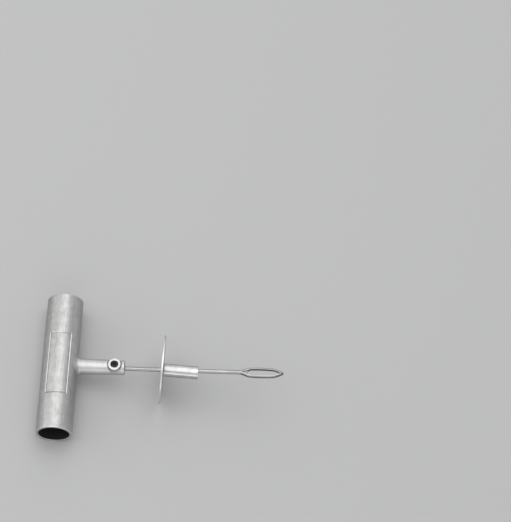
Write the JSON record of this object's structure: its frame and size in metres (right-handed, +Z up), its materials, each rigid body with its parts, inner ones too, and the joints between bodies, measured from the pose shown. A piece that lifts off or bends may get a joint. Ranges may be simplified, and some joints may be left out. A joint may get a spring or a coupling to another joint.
{
  "type": "tyre plug insertion tool",
  "caption": "T-handle tool with a clamped split-eye needle and a sliding depth-stop collar, for pushing a plug strip into a punctured tyre.",
  "frame": {"origin": "on the surface that the tool lies on, under the middle of its bounding box", "axes": "+X along the needle towards its tip, seen from above; +Y along the handle's barrel; +Z up. The needle rises about 10 degrees towards +X, because the tool lies on its barrel and on the stop disc's rim"},
  "size_m": [0.1606, 0.0984, 0.0462],
  "materials": {
    "cast_handle": "die-cast and blasted, matt, with fine grain and faint lengthwise streaks",
    "black_screw": "black oxide, satin",
    "needle_steel": "polished lengthwise, slightly worn",
    "collar_sleeve": "turned and bright plated",
    "collar_disc": "turned and bright plated"
  },
  "bodies": {
    "handle": {"handle_casting": "cast_handle"},
    "screw": {"set_screw": "black_screw"},
    "needle": {"needle": "needle_steel"},
    "sleeve": {"guide_sleeve": "collar_sleeve"},
    "disc": {"stop_disc": "collar_disc"}
  },
  "joints": [
    {"name": "set_screw_travel", "type": "slide", "parent": "handle", "child": "screw", "axis": [-0.176, 0, 0.9844], "range_m": [0, 0.0025]},
    {"name": "needle_extension", "type": "slide", "parent": "handle", "child": "needle", "axis": [0.9844, 0, 0.176], "range_m": [0, 0.018]},
    {"name": "collar_slide", "type": "slide", "parent": "needle", "child": "sleeve", "axis": [0.9844, 0, 0.176], "range_m": [-0.024, 0.0275]},
    {"name": "collar_spin", "type": "hinge", "parent": "sleeve", "child": "disc", "pos_m": [-0.00002, 0.0006, 0.02308], "axis": [0.9928, -0.0331, 0.1155], "continuous": true}
  ]
}
